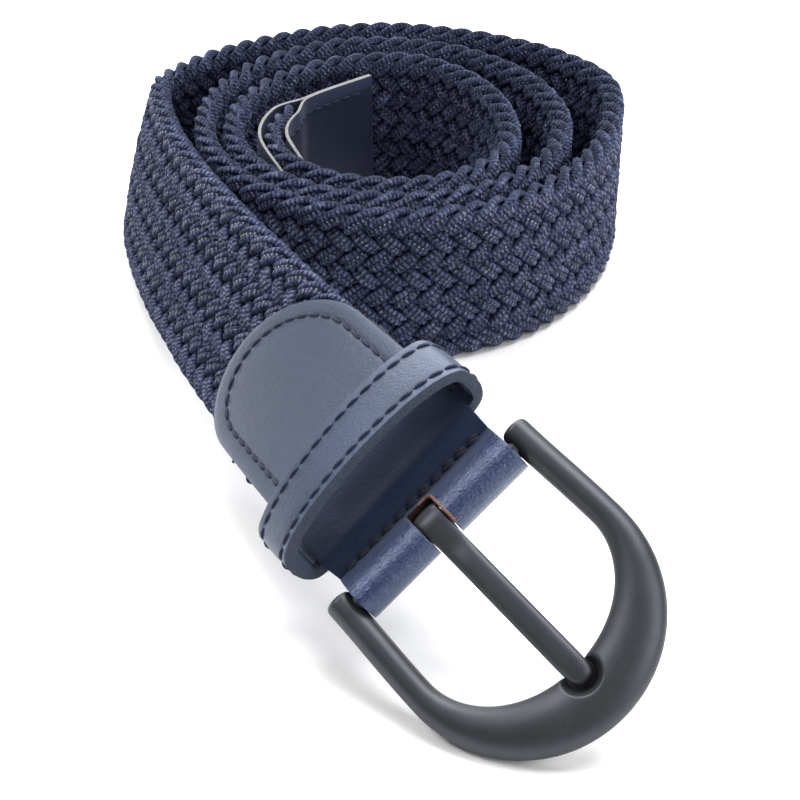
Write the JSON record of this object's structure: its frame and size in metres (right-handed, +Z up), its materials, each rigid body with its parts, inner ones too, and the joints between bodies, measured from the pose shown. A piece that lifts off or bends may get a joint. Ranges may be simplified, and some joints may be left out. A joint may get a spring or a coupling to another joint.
{
  "type": "knitted belt",
  "caption": "Braided stretch belt rolled into a coil on its edge, with leather ends, a leather keeper and a horseshoe pin buckle at the end that runs out.",
  "frame": {"origin": "under the middle of the belt's bounding box, on the surface it stands on", "axes": "+Z up, along the webbing's width in the coil; -Y the way the strap runs as it reaches the buckle"},
  "size_m": [0.141, 0.215, 0.0444],
  "materials": {
    "braid": "dark navy braided cord, matt",
    "tip_leather": "smooth dark navy leather",
    "smooth_leather": "smooth satin navy leather",
    "grain_leather": "grained satin navy leather",
    "matt_black": "matt gunmetal black coating"
  },
  "bodies": {
    "strap": {"webbing": "braid", "tip_leather_inner": "tip_leather", "tip_leather_outer": "tip_leather", "buckle_leather": "smooth_leather", "keeper_loop": "grain_leather"},
    "frame": {"buckle_frame": "matt_black"},
    "prong": {"prong": "matt_black"}
  },
  "joints": [
    {"name": "frame_swing", "type": "hinge", "parent": "strap", "child": "frame", "pos_m": [-0.04833, -0.06777, 0.02285], "axis": [-0.8211, 0.0348, -0.5696], "range_deg": [-60, 45]},
    {"name": "prong_pivot", "type": "hinge", "parent": "frame", "child": "prong", "pos_m": [-0.04833, -0.06777, 0.02285], "axis": [-0.8211, 0.0348, -0.5696], "range_deg": [0, 85]}
  ]
}
